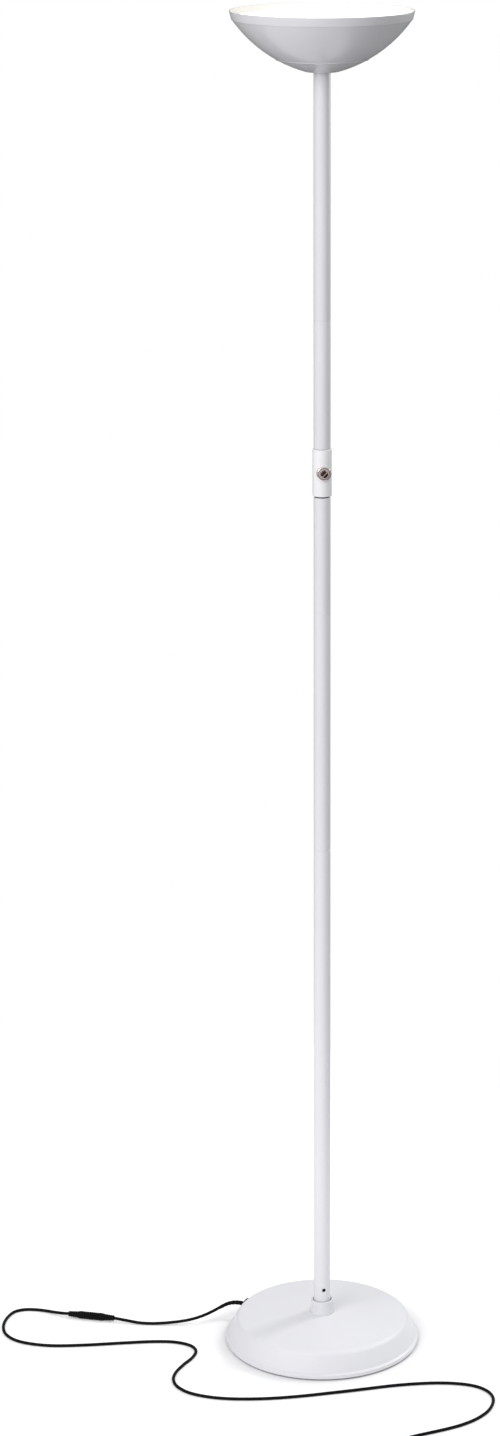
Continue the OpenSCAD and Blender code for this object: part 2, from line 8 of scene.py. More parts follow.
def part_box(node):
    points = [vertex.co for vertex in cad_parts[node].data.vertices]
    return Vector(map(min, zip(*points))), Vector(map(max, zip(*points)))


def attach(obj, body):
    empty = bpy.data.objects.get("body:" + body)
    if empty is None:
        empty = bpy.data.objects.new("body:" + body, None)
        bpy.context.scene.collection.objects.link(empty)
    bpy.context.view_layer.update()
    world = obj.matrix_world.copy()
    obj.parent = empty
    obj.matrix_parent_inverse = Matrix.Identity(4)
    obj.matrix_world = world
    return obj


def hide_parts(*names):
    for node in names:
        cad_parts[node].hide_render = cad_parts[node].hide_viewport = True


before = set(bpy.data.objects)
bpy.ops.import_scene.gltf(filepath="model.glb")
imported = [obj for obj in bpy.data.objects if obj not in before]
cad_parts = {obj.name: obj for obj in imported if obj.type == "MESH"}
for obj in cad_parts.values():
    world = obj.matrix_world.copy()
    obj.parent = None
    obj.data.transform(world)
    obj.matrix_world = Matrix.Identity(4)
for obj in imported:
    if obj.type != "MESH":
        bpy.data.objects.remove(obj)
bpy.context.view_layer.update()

# Cords, the adapter and the room are in metres. Profiles of turned pieces, and the base, pole,
# collar and bowl, are in millimetres. All angles are in degrees unless a line says radians.
MM = 0.001
NEARLY_ZERO = 1e-6
UP = Vector((0, 0, 1))
SHARP_ANGLE = 38
FINE_SEGMENTS = 224


# ---------------------------------------------------------------- camera

CAMERA_AT = Vector((0, -4.442, 2.123))
CAMERA_PITCH = 10.34
FOCAL_LONG_SIDES = 2.506
SENSOR = 36.0
CAMERA_SHIFT = (-0.0502, -0.25)
FAR_CLIP = 50


def make_camera():
    data = bpy.data.cameras.new("camera")
    data.sensor_width = SENSOR
    data.lens = FOCAL_LONG_SIDES * SENSOR
    data.shift_x, data.shift_y = CAMERA_SHIFT
    data.clip_end = FAR_CLIP
    camera = bpy.data.objects.new("camera", data)
    camera.location = CAMERA_AT
    camera.rotation_euler = (math.radians(90 - CAMERA_PITCH), 0, 0)
    bpy.context.scene.collection.objects.link(camera)
    bpy.context.scene.camera = camera


make_camera()


# ---------------------------------------------------------------- mesh tools

def angles(count):
    """Equal steps round a circle, in radians."""
    return [2 * math.pi * k / count for k in range(count)]


def mesh_object(name, points, faces, sharp=SHARP_ANGLE):
    mesh = bpy.data.meshes.new(name)
    mesh.from_pydata([tuple(p) for p in points], [], faces)
    work = bmesh.new()
    work.from_mesh(mesh)
    bmesh.ops.remove_doubles(work, verts=work.verts, dist=1e-7)
    bmesh.ops.recalc_face_normals(work, faces=work.faces)
    work.to_mesh(mesh)
    work.free()
    mesh.shade_smooth()
    mesh.set_sharp_from_angle(angle=math.radians(sharp))
    obj = bpy.data.objects.new(name, mesh)
    bpy.context.scene.collection.objects.link(obj)
    return obj


def loft(name, rings, looped=False, sharp=SHARP_ANGLE):
    """Joins rings of points with faces. A ring of one point is a pole, and a looped loft joins its
    last ring to its first."""
    points = [p for ring in rings for p in ring]
    starts = [sum(len(r) for r in rings[:i]) for i in range(len(rings))]
    faces = []
    pairs = list(range(len(rings) - 1)) + ([len(rings) - 1] if looped else [])
    for i in pairs:
        j = (i + 1) % len(rings)
        a, b = starts[i], starts[j]
        n = max(len(rings[i]), len(rings[j]))
        for k in range(n):
            m = (k + 1) % n
            if len(rings[i]) == 1:
                faces.append((a, b + m, b + k))
            elif len(rings[j]) == 1:
                faces.append((a + k, a + m, b))
            else:
                faces.append((a + k, a + m, b + m, b + k))
    return mesh_object(name, points, faces, sharp)


def filleted(profile, looped=False, steps=5):
    """Rounds each corner (x, y, radius) of a profile; a point without a radius stays sharp."""
    made = []
    n = len(profile)
    for i, corner in enumerate(profile):
        here = Vector(corner[:2])
        radius = corner[2] if len(corner) > 2 else 0
        if radius == 0 or (not looped and i in (0, n - 1)):
            made.append(here)
            continue
        before = Vector(profile[i - 1][:2]) - here
        after = Vector(profile[(i + 1) % n][:2]) - here
        half = before.angle(after) / 2
        reach = min(radius / math.tan(half), 0.48 * before.length, 0.48 * after.length)
        start = here + before.normalized() * reach
        end = here + after.normalized() * reach
        for k in range(steps + 1):
            t = k / steps
            made.append((1 - t) ** 2 * start + 2 * t * (1 - t) * here + t * t * end)
    return made


def lathe(name, profile, place=None, segments=160):
    """Turns a profile of (radius, height, fillet) in millimetres about z, then puts it in place."""
    place = place or Matrix.Identity(4)
    on_axis = profile[0][0] < NEARLY_ZERO or profile[-1][0] < NEARLY_ZERO
    rings = []
    for r, z in filleted(profile, not on_axis):
        if r < NEARLY_ZERO:
            rings.append([place @ Vector((0, 0, z * MM))])
            continue
        rings.append([
            place @ Vector((r * math.cos(a) * MM, r * math.sin(a) * MM, z * MM)) for a in angles(segments)])
    return loft(name, rings, not on_axis)


def arc(centre, radius, start, end, steps):
    """The points of an arc from start to end, in degrees."""
    return [
        (centre[0] + radius * math.cos(math.radians(start + (end - start) * k / steps)),
         centre[1] + radius * math.sin(math.radians(start + (end - start) * k / steps)))
        for k in range(steps + 1)
    ]


def smooth_path(points, step):
    """A Catmull-Rom curve through the points, sampled about every step."""
    p = [Vector(q) for q in points]
    made = []
    for i in range(len(p) - 1):
        a, b, c, d = p[max(i - 1, 0)], p[i], p[i + 1], p[min(i + 2, len(p) - 1)]
        count = max(1, math.ceil((c - b).length / step))
        for k in range(count):
            t = k / count
            made.append(0.5 * (2 * b + (c - a) * t + (2 * a - 5 * b + 4 * c - d) * t * t
                               + (3 * b - a - 3 * c + d) * t ** 3))
    return made + [p[-1]]


def path_length(points):
    return sum((b - a).length for a, b in zip(points, points[1:]))


def rings_along(path, radii, sides):
    """Rings round a path. The frame is carried along it, so that the tube doesn't twist."""
    rings = []
    side = None
    for i, here in enumerate(path):
        ahead = (path[min(i + 1, len(path) - 1)] - path[max(i - 1, 0)]).normalized()
        side = UP.cross(ahead) if side is None else side - ahead * side.dot(ahead)
        side.normalize()
        over = ahead.cross(side)
        rings.append([here + radii[i] * (math.cos(a) * side + math.sin(a) * over) for a in angles(sides)])
    return rings


def aim(start, end):
    """The matrix that puts z at start, pointing to end, with y as near up as it can be."""
    z = (end - start).normalized()
    x = UP.cross(z).normalized()
    y = z.cross(x)
    return Matrix.Translation(start) @ Matrix((x, y, z)).transposed().to_4x4()


def cut(obj, cutter):
    """Takes the cutter's shape out of obj, and removes the cutter."""
    modifier = obj.modifiers.new("cut", "BOOLEAN")
    modifier.operation = "DIFFERENCE"
    modifier.solver = "EXACT"
    modifier.object = cutter
    bpy.context.view_layer.update()
    made = bpy.data.meshes.new_from_object(obj.evaluated_get(bpy.context.evaluated_depsgraph_get()))
    obj.modifiers.clear()
    obj.data = made
    made.shade_smooth()
    made.set_sharp_from_angle(angle=math.radians(SHARP_ANGLE))
    bpy.data.objects.remove(cutter)


# ---------------------------------------------------------------- material tools

class Paintwork:
    """A procedural material: a Principled shader with helpers for the nodes that feed it."""

    def __init__(self, name, **settings):
        self.material = bpy.data.materials.new(name)
        self.material.use_nodes = True
        self.tree = self.material.node_tree
        self.shader = self.tree.nodes["Principled BSDF"]
        for key, value in settings.items():
            self.shader.inputs[key.replace("_", " ")].default_value = value
        self.coords = self.tree.nodes.new("ShaderNodeTexCoord").outputs["Object"]

    def link(self, output, socket):
        self.tree.links.new(output, socket)

    def feed(self, output, socket):
        self.link(output, self.shader.inputs[socket])

    def stretched(self, scale):
        node = self.tree.nodes.new("ShaderNodeMapping")
        node.inputs["Scale"].default_value = scale
        self.link(self.coords, node.inputs["Vector"])
        return node.outputs["Vector"]

    def noise(self, scale, detail, roughness=0.5, vector=None):
        node = self.tree.nodes.new("ShaderNodeTexNoise")
        node.inputs["Scale"].default_value = scale
        node.inputs["Detail"].default_value = detail
        node.inputs["Roughness"].default_value = roughness
        self.link(vector or self.coords, node.inputs["Vector"])
        return node.outputs["Fac"]

    def cells(self, scale):
        node = self.tree.nodes.new("ShaderNodeTexVoronoi")
        node.inputs["Scale"].default_value = scale
        self.link(self.coords, node.inputs["Vector"])
        return node.outputs["Distance"]

    def ramp(self, factor, low, high):
        """A blend between two stops, each a place on the factor and a colour."""
        node = self.tree.nodes.new("ShaderNodeValToRGB")
        for element, (at, colour) in zip(node.color_ramp.elements, (low, high)):
            element.position = at
            element.color = (*colour, 1)
        self.link(factor, node.inputs["Fac"])
        return node.outputs["Color"]

    def spread(self, factor, low, high, start=0.25, end=0.75):
        """Maps the factor's range from start to end onto low to high."""
        node = self.tree.nodes.new("ShaderNodeMapRange")
        for socket, value in (("From Min", start), ("From Max", end), ("To Min", low), ("To Max", high)):
            node.inputs[socket].default_value = value
        self.link(factor, node.inputs["Value"])
        return node.outputs["Result"]

    def bump(self, height, distance, strength, under=None):
        node = self.tree.nodes.new("ShaderNodeBump")
        node.inputs["Distance"].default_value = distance
        node.inputs["Strength"].default_value = strength
        self.link(height, node.inputs["Height"])
        if under:
            self.link(under, node.inputs["Normal"])
        self.feed(node.outputs["Normal"], "Normal")
        return node.outputs["Normal"]


def tinted(colour, by):
    return tuple(min(1.0, c * by) for c in colour)


def powder_coat(name, colour, roughness=0.42):
    """Sprayed and baked white paint: faint orange peel, and a slightly uneven gloss."""
    paint = Paintwork(name, Specular_IOR_Level=0.45)
    patches = paint.noise(9, 3)
    paint.feed(paint.ramp(patches, (0.3, tinted(colour, 0.985)), (0.7, tinted(colour, 1.01))), "Base Color")
    paint.feed(paint.spread(paint.noise(40, 4), roughness - 0.05, roughness + 0.05), "Roughness")
    peel = paint.bump(paint.noise(650, 2), 0.00003, 0.6)
    paint.bump(paint.noise(3500, 1), 0.000008, 0.5, peel)
    return paint.material


def plated(name, colour, roughness, grain=(1, 1, 1), metallic=1.0):
    """Bright metal with hairline scratches along the direction in which grain is small."""
    metal = Paintwork(name, Metallic=metallic)
    lines = metal.noise(1800, 5, 0.6, metal.stretched(grain))
    metal.feed(metal.ramp(lines, (0.3, tinted(colour, 0.9)), (0.7, tinted(colour, 1.06))), "Base Color")
    metal.feed(metal.spread(metal.noise(90, 3), roughness * 0.75, roughness * 1.3), "Roughness")
    metal.bump(lines, 0.000004, 0.5)
    return metal.material


def moulded(name, colour, roughness, grain_size, depth, specular=0.5):
    """Moulded plastic or rubber with a fine spark-eroded grain."""
    plastic = Paintwork(name, Specular_IOR_Level=specular)
    cloud = plastic.noise(60, 4)
    plastic.feed(plastic.ramp(cloud, (0.3, tinted(colour, 0.85)), (0.7, tinted(colour, 1.2))), "Base Color")
    plastic.feed(plastic.spread(plastic.noise(200, 3), roughness - 0.06, roughness + 0.06), "Roughness")
    plastic.bump(plastic.noise(1 / grain_size, 3, 0.65), depth, 0.6)
    return plastic.material


def cast(name, colour, roughness, metallic=0.6):
    """Sand-cast metal: coarse pits under a fine grain."""
    iron = Paintwork(name, Metallic=metallic)
    pits = iron.noise(260, 6, 0.7)
    iron.feed(iron.ramp(pits, (0.35, tinted(colour, 0.6)), (0.7, tinted(colour, 1.3))), "Base Color")
    iron.feed(iron.spread(pits, roughness, roughness + 0.15), "Roughness")
    iron.bump(pits, 0.0003, 0.7)
    return iron.material


def foam(name, colour):
    """Closed-cell foam: packed little bubbles."""
    pad = Paintwork(name, Roughness=0.9)
    bubbles = pad.cells(1400)
    pad.feed(pad.ramp(bubbles, (0.0, tinted(colour, 1.5)), (0.6, tinted(colour, 0.6))), "Base Color")
    pad.bump(bubbles, 0.0003, 0.8)
    return pad.material


def opal(name, colour, strength):
    """Lit opal acrylic: the light is a little uneven, as the chips behind it are rings."""
    sheet = Paintwork(name, Roughness=0.35)
    sheet.feed(sheet.ramp(sheet.noise(25, 2), (0.2, tinted(colour, 0.97)), (0.8, colour)), "Base Color")
    sheet.feed(sheet.ramp(sheet.noise(14, 2), (0.2, tinted(colour, 0.93)), (0.8, colour)), "Emission Color")
    sheet.shader.inputs["Emission Strength"].default_value = strength
    sheet.bump(sheet.noise(900, 2), 0.00002, 0.4)
    return sheet.material


WHITE = (0.80, 0.80, 0.825)
PAINT = powder_coat("white_powder_coat", WHITE)
COLLAR_PAINT = powder_coat("collar_powder_coat", (0.93, 0.93, 0.94), 0.38)
BOWL_PAINT = powder_coat("bowl_satin_paint", (0.78, 0.78, 0.80), 0.18)
NICKEL = plated("polished_nickel", (0.74, 0.68, 0.65), 0.2)
DISH_METAL = plated("satin_nickel", (0.95, 0.87, 0.84), 0.42, metallic=0.4)
# Tan for the bar on the knob's grip: a pointer mark that is also a painted highlight, the light on the
# grip's raised face.
POINTER_PAINTED_HIGHLIGHT = plated("pointer_bronze_painted_highlight", (0.45, 0.34, 0.29), 0.3, (0.1, 1, 1))
BLACK_OXIDE = plated("black_oxide", (0.035, 0.035, 0.038), 0.45)
ZINC = plated("zinc_plate", (0.60, 0.61, 0.63), 0.34, (1, 1, 0.15))
BRASS = plated("plated_blades", (0.72, 0.70, 0.62), 0.28, (1, 1, 0.1))
ALU = cast("cast_aluminium", (0.70, 0.71, 0.72), 0.35, 1.0)
IRON = cast("cast_iron", (0.10, 0.10, 0.105), 0.6)
# Dark brown for the knob's grip: partly its own colour, partly a painted reflection of the dark that its
# face mirrors.
BROWN_AND_DARK_REFLECTION = moulded("dark_brown_painted_reflection", (0.028, 0.011, 0.007), 0.35, 0.0008, 0.000006, 0.12)
CORD = moulded("black_pvc", (0.003, 0.003, 0.0034), 0.6, 0.0006, 0.00001, 0.1)
BOOT = moulded("black_rubber", (0.0025, 0.0025, 0.0028), 0.6, 0.0003, 0.00002, 0.1)
CASE = moulded("black_abs", (0.008, 0.008, 0.009), 0.48, 0.0005, 0.00004)
TIE = moulded("tie_plastic", (0.012, 0.012, 0.013), 0.6, 0.0004, 0.00003)
BOARD = moulded("white_plastic", (0.78, 0.78, 0.75), 0.5, 0.0006, 0.00001)
CHIP = moulded("phosphor", (0.85, 0.62, 0.12), 0.45, 0.0003, 0.00001)
PAD = foam("closed_cell_foam", (0.02, 0.02, 0.021))
GLOW = opal("lit_opal_acrylic", (1.0, 0.94, 0.78), 1.35)


def dress(obj, material, slot, *nodes, body="stand"):
    """Gives a new piece its material and its body, and hides the CAD nodes it stands for. The slot argument
    is not used.
    """
    obj.data.materials.clear()
    obj.data.materials.append(material)
    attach(obj, body)
    if nodes:
        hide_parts(*nodes)
    return obj


# ---------------------------------------------------------------- cord and what is on it

CORD_D = 0.004
CORD_STEP = 0.0018
CORD_SIDES = 14
CORD_SHARP = 60
LAMP_ROUTE = [
    (-0.1041, 0.0577, 0.02), (-0.111, 0.0611, 0.02), (-0.1187, 0.0623, 0.0196),
    (-0.127, 0.0602, 0.0186), (-0.137, 0.054, 0.0162), (-0.1475, 0.0473, 0.0133),
    (-0.1595, 0.0418, 0.0102), (-0.172, 0.0384, 0.0075), (-0.185, 0.0368, 0.0054),
    (-0.199, 0.0361, 0.0038), (-0.214, 0.036, 0.0026), (-0.229, 0.0363, 0.0021),
    (-0.244, 0.0375, 0.0026), (-0.259, 0.041, 0.0038), (-0.277, 0.046, 0.00505),
]
BOOT_POINTS = 5
CONNECTOR_END = (-0.3385, 0.0597, 0.00505)
ADAPTER_ROUTE = [
    CONNECTOR_END, (-0.347, 0.0623, 0.0044), (-0.3575, 0.0676, 0.0032), (-0.370, 0.074, 0.0023),
    (-0.384, 0.078, 0.00205), (-0.400, 0.078, 0.00205), (-0.413, 0.070, 0.00205),
    (-0.421, 0.050, 0.00205), (-0.423, 0.027, 0.00205), (-0.418, 0.005, 0.00205),
    (-0.404, -0.013, 0.00205), (-0.382, -0.024, 0.00205), (-0.352, -0.0295, 0.00205),
    (-0.310, -0.0275, 0.00205), (-0.262, -0.0215, 0.00205), (-0.222, -0.0175, 0.00205),
    (-0.194, -0.019, 0.00205), (-0.173, -0.029, 0.00205), (-0.165, -0.045, 0.00205),
    (-0.169, -0.064, 0.00205), (-0.180, -0.085, 0.00205), (-0.189, -0.107, 0.00205),
    (-0.191, -0.128, 0.00205), (-0.184, -0.148, 0.00205), (-0.165, -0.166, 0.00205),
    (-0.130, -0.178, 0.00205), (-0.085, -0.180, 0.00205), (-0.035, -0.174, 0.00205),
    (0.030, -0.159, 0.00205), (0.100, -0.1415, 0.00205), (0.153, -0.136, 0.00205),
    (0.192, -0.143, 0.00205), (0.213, -0.162, 0.00205), (0.217, -0.189, 0.00205),
    (0.204, -0.222, 0.00205), (0.172, -0.252, 0.00205), (0.113, -0.281, 0.00205),
    (0.083, -0.298, 0.00205), (0.050, -0.3137, 0.00215), (0.011, -0.3287, 0.0026),
]
COIL_CENTRE = Vector((0.020, -0.352, 0))
COIL_OUT_R = 0.025
COIL_IN_R = 0.0164
COIL_LOW_Z = 0.0026
COIL_START = 111
COIL_END = 270
COIL_WHOLE_TURNS = 5
COIL_STEPS = 36
INWARD_TURNS = 2.1
CLIMB_TURNS = 0.3
OUTWARD_TURNS = 2.05
TAIL_L = 0.0390
TAIL_STEPS = 8


def eased(t):
    """Goes smoothly from 0 to 1 as t does."""
    t = min(max(t, 0), 1)
    return t * t * (3 - 2 * t)


def coil_place(turn):
    """Radius and height of the cord in the coil: two turns inwards, two outwards above them, and one
    on top."""
    second = INWARD_TURNS + CLIMB_TURNS
    third = second + OUTWARD_TURNS
    inwards = min(turn, INWARD_TURNS) / INWARD_TURNS
    outwards = min(max(turn - second, 0), OUTWARD_TURNS) / OUTWARD_TURNS
    layer = eased((turn - INWARD_TURNS) / CLIMB_TURNS) + eased((turn - third) / CLIMB_TURNS)
    return COIL_OUT_R - (COIL_OUT_R - COIL_IN_R) * (inwards - outwards), COIL_LOW_Z + layer * CORD_D


def coil_points():
    turns = COIL_WHOLE_TURNS + (COIL_END - COIL_START) / 360
    made = []
    count = round(turns * COIL_STEPS)
    for k in range(1, count + 1):
        turn = turns * k / count
        angle = math.radians(COIL_START + 360 * turn)
        radius, z = coil_place(turn)
        made.append(COIL_CENTRE + Vector((radius * math.cos(angle), radius * math.sin(angle), z)))
    return made


def make_cord(name, path):
    rings = rings_along(path, [CORD_D / 2] * len(path), CORD_SIDES)
    return loft(name, [[path[0]], *rings, [path[-1]]], sharp=CORD_SHARP)


lamp_path = smooth_path(LAMP_ROUTE, CORD_STEP)
coil_path = coil_points()
tail_end = coil_path[-1] + Vector((TAIL_L, 0, 0))
tail_path = [coil_path[-1].lerp(tail_end, k / TAIL_STEPS) for k in range(1, TAIL_STEPS + 1)]
adapter_path = smooth_path(ADAPTER_ROUTE, CORD_STEP) + coil_path + tail_path

lamp_lead = dress(make_cord("lamp_cord", lamp_path), CORD, "black_rubber", "lamp_lead")
adapter_lead = dress(
    make_cord("adapter_cord", adapter_path), CORD, "black_rubber", "adapter_lead", "lead_coil")


# The boot that the cord leaves the base by: a flange that lies on the skirt, then a ribbed taper.
# The skirt, which rises from a crease above the lip, and the flange are in millimetres.
SKIRT_SLOPE = 64
CREASE_R = 123.2
CREASE_Z = 8.0
EXIT_AZIMUTH = 151
EXIT_Z = 20
FLANGE_R = 8.5
FLANGE_T = 2.4
FLANGE_SUNK = 0.1
BOOT_R = 0.0029
BOOT_TIP_R = 0.0022
BOOT_STEP = 0.0006
BOOT_SIDES = 48
BOOT_RIBS = 7
BOOT_RIB_H = 0.00014
RIBS_START = 0.12
RIBS_END = 0.9
HIDDEN_RINGS = 5


def skirt_point(across, rise, out):
    """A point on the skirt, moved out of it, in the frame of the cord's exit."""
    height = EXIT_Z + rise
    radius = CREASE_R - (height - CREASE_Z) / math.tan(math.radians(SKIRT_SLOPE)) + out
    turn = Matrix.Rotation(math.radians(EXIT_AZIMUTH), 3, "Z")
    return turn @ Vector((math.sqrt(radius ** 2 - across ** 2), across, height)) * MM


def make_boot():
    """The flange on the base's skirt, and the ribbed sleeve that tapers down to the cord."""
    path = smooth_path(LAMP_ROUTE[:BOOT_POINTS], BOOT_STEP)
    total = path_length(path)
    radii = []
    gone = 0.0
    for a, b in zip([path[0], *path], path):
        gone += (b - a).length
        part = gone / total
        wave = math.cos(2 * math.pi * part * BOOT_RIBS) if RIBS_START < part < RIBS_END else 0.0
        radii.append(BOOT_R + (BOOT_TIP_R - BOOT_R) * part + BOOT_RIB_H * wave)
    radii[-1] = CORD_D / 2

    def flange(radius, out):
        return [skirt_point(-radius * math.cos(a), radius * math.sin(a), out) for a in angles(BOOT_SIDES)]

    # The taper's first rings are left out, as the flange stands in their place
    rings = [
        flange(FLANGE_R, -FLANGE_SUNK), flange(FLANGE_R, FLANGE_T - 0.5), flange(FLANGE_R - 0.5, FLANGE_T),
        flange(3.6, FLANGE_T + 0.2), flange(3.1, FLANGE_T + 0.6),
        *rings_along(path, radii, BOOT_SIDES)[HIDDEN_RINGS:],
    ]
    return loft("cord_boot", [[skirt_point(0, 0, -0.3)], *rings, [path[-1]]])


boot = dress(make_boot(), BOOT, "black_rubber", "cord_grip")


# The connector: two halves that meet face to face, each with grooves for the fingers
BARREL_R = 5
GROOVE_R = 4.6
GROOVES_Z = 20.5
GROOVE_PITCH = 2.4
NECK_R = 3.6
NECK_WIDENS = 0.18
NECK_PITCH = 2.8


def make_half(name, start, end):
    """Half of the connector: a stepped neck round the cord, and a grooved barrel."""
    half = (end - start).length / 2 / MM
    grooves = []
    for k in range(4):
        z = GROOVES_Z + k * GROOVE_PITCH
        grooves += [(BARREL_R, z, 0.2), (GROOVE_R, z + 0.3, 0.2)]
        grooves += [(GROOVE_R, z + 1.1, 0.2), (BARREL_R, z + 1.4, 0.2)]
    steps = []
    for k in range(4):
        z = 2 + k * NECK_PITCH
        r = NECK_R + NECK_WIDENS * k
        steps += [(r, z, 0.3), (r - 0.3, z + 0.6, 0.2), (r - 0.25, z + 1.3, 0.2), (r + 0.15, z + 1.9, 0.3)]
    profile = [(0, 0.1), (3.1, 0.1, 0.2), (3.5, 0.7, 0.3), *steps, (4.3, 13.6, 0.3), (4.6, 14.4, 0.6)]
    profile += [(BARREL_R, 17.6, 1.5), *grooves, (BARREL_R, half - 0.5, 0.3)]
    profile += [(GROOVE_R, half - 0.05, 0.2), (0, half - 0.05)]
    return lathe(name, profile, aim(start, end), 48)


connector_start = Vector(LAMP_ROUTE[-1])
connector_end = Vector(CONNECTOR_END)
jack = dress(make_half("jack_half", connector_start, connector_end), BOOT, "black_rubber", "lead_jack")
plug = dress(make_half("plug_half", connector_end, connector_start), BOOT, "black_rubber", "lead_plug")


# The adapter: a two-part case with a groove round it, a boot for the lead, and its blades
def rounded_rectangle(centre, size, corner, z):
    made = []
    for sx, sy, start in ((1, 1, 0), (-1, 1, 90), (-1, -1, 180), (1, -1, 270)):
        cx = centre.x + sx * (size[0] / 2 - corner)
        cy = centre.y + sy * (size[1] / 2 - corner)
        made += [Vector((x, y, z)) for x, y in arc((cx, cy), corner, start, start + 90, 8)]
    return made


ADAPTER_LOW, ADAPTER_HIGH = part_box("adapter_body")
BODY_LOW_X = 0.053
BODY_HIGH_X = 0.117
BODY_CORNER_R = 0.0055
SPLIT_Z = 0.0165
GROOVE_D = 0.0006
LID_SUNK = 0.0005
BOOT_TIP_X = 0.0294


def make_adapter():
    """The case: rounded edges below and above, and a groove where its halves meet."""
    middle_x, middle_y = (BODY_LOW_X + BODY_HIGH_X) / 2, (ADAPTER_LOW.y + ADAPTER_HIGH.y) / 2
    centre = Vector((middle_x, middle_y, 0))
    length, width = BODY_HIGH_X - BODY_LOW_X, ADAPTER_HIGH.y - ADAPTER_LOW.y
    top = ADAPTER_HIGH.z
    levels = [
        (0.0032, 0.0), (0.0012, 0.0004), (0.0003, 0.0014), (0.0, 0.003),
        (0.0, SPLIT_Z - 0.0006), (GROOVE_D, SPLIT_Z - 0.0003),
        (GROOVE_D, SPLIT_Z + 0.0003), (0.0, SPLIT_Z + 0.0006),
        (0.0, top - 0.003), (0.0003, top - 0.0014), (0.0012, top - 0.0004), (0.0032, top),
        (0.005, top), (0.0054, top - LID_SUNK),
    ]
    rings = [
        rounded_rectangle(centre, (length - 2 * inset, width - 2 * inset), BODY_CORNER_R - inset * 0.6, z)
        for inset, z in levels
    ]
    floor = [centre]
    lid = [Vector((middle_x, middle_y, top - LID_SUNK))]
    return loft("adapter_case", [floor, *rings, lid])


def make_adapter_boot():
    """The ribbed sleeve round the lead at the adapter, widest at the case."""
    y, z = coil_path[-1].yz
    start = Vector((BODY_LOW_X + 0.002, y, z))
    end = Vector((BOOT_TIP_X, y, z))
    ribs = []
    for k in range(6):
        at = 4.0 + k * 3.2
        r = 4.0 - 0.24 * k
        ribs += [(r, at, 0.3), (r - 0.5, at + 0.9, 0.3), (r - 0.1, at + 1.7, 0.3)]
    profile = [(0, 0), (4.2, 0, 0.2), (4.2, 3.2, 0.5), *ribs, (2.6, 24.9, 0.3), (2.2, 25.5, 0.2), (0, 25.5)]
    return lathe("adapter_lead_boot", profile, aim(start, end), 40)


BLADE_W = 0.00635
BLADE_T = 0.0015
BLADE_L = 0.017
BLADE_HOLE_UP = 0.0125
BLADE_HOLE_R = 0.00155
BLADE_FOOT = 0.001


def make_blade(name, centre, base_z):
    """A flat blade with a hole in it, whose foot is sunk in the case."""
    hole_z = base_z + BLADE_HOLE_UP
    outer, hole = [], []
    for a in angles(48):
        x, z = math.cos(a), math.sin(a)
        to_end = BLADE_L - BLADE_HOLE_UP if z > 0 else BLADE_HOLE_UP + BLADE_FOOT
        reach = min(BLADE_W / 2 / max(abs(x), NEARLY_ZERO), to_end / max(abs(z), NEARLY_ZERO))
        outer.append((x * reach, hole_z + z * reach))
        hole.append((BLADE_HOLE_R * x, hole_z + BLADE_HOLE_R * z))

    def ring(outline, y):
        return [Vector((centre.x + x, centre.y + y, z)) for x, z in outline]

    half = BLADE_T / 2
    rings = [ring(outer, -half), ring(outer, half), ring(hole, half), ring(hole, -half)]
    return loft(name, rings, looped=True)


case = dress(make_adapter(), CASE, "black_plastic", "adapter_body")
case_boot = dress(make_adapter_boot(), BOOT, "black_rubber")
BLADES_LOW, BLADES_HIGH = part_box("adapter_blades")
for side, y, replaced in (
    ("left", BLADES_LOW.y + BLADE_T / 2, ["adapter_blades"]),
    ("right", BLADES_HIGH.y - BLADE_T / 2, []),
):
    middle = Vector(((BLADES_LOW.x + BLADES_HIGH.x) / 2, y, 0))
    dress(
        make_blade("blade_" + side, middle, BLADES_LOW.z), BRASS, "blade_metal", *replaced)


# The tie round the coil: a flat band that hugs the outermost turns
TIE_AZIMUTH = 45
TIE_T = 0.00055
TIE_GAP = 0.00002
TIE_HALF_W = 0.003
# The turns of the coil that the tie bends round, counted from the first one that passes it
TIE_CORNERS = (1, 0, 4, 2)


def make_tie():
    """A flat band that follows the coil's outermost cords round their cross-section."""
    first = (TIE_AZIMUTH - COIL_START) % 360 / 360
    corners = [coil_place(first + turns) for turns in TIE_CORNERS]
    turn = Matrix.Rotation(math.radians(TIE_AZIMUTH), 3, "Z")
    rings = []
    for k, here in enumerate(corners):
        before, after = corners[k - 1], corners[(k + 1) % len(corners)]
        start = math.degrees(math.atan2(before[0] - here[0], here[1] - before[1]))
        end = math.degrees(math.atan2(here[0] - after[0], after[1] - here[1]))
        end = start + (end - start) % 360
        near = arc(here, CORD_D / 2 + TIE_GAP, start, end, 8)
        far = arc(here, CORD_D / 2 + TIE_T, start, end, 8)
        for p, q in zip(near, far):
            section = [(p, -1), (p, 1), (q, 1), (q, -1)]
            rings.append([
                COIL_CENTRE + turn @ Vector((c[0], side * TIE_HALF_W, c[1])) for c, side in section])
    return loft("lead_tie", rings, looped=True)


tie = dress(make_tie(), TIE, "tie_plastic", "coil_tie")


# ---------------------------------------------------------------- base

BASE_R = 126.5
BASE_TOP = 37
PAD_T = 2
COVER_T = 2
SEAT_R = 17
DOME_R = BASE_R - 19
DOME_Z = BASE_TOP - 5.5
SHOULDER_R = 8
LIP_H = 4.5
LEDGE_SLOPE = 24
HOLE_R = 5.2
SOCKET_FLOOR = BASE_TOP + 11.5
SOCKET_TOP = BASE_TOP + 17.5
SOCKET_R = 14.3
SOCKET_BORE_R = 12.3


def meet(angle_1, offset_1, angle_2, offset_2):
    """Where two lines cross, each given by the direction of its normal and its distance from 0."""
    a, b = math.radians(angle_1), math.radians(angle_2)
    return (
        (offset_1 * math.sin(b) - offset_2 * math.sin(a)) / math.sin(b - a),
        (offset_2 * math.cos(a) - offset_1 * math.cos(b)) / math.sin(b - a),
    )


def offset(angle, point):
    """How far out a point lies in the direction of angle."""
    return math.cos(math.radians(angle)) * point[0] + math.sin(math.radians(angle)) * point[1]


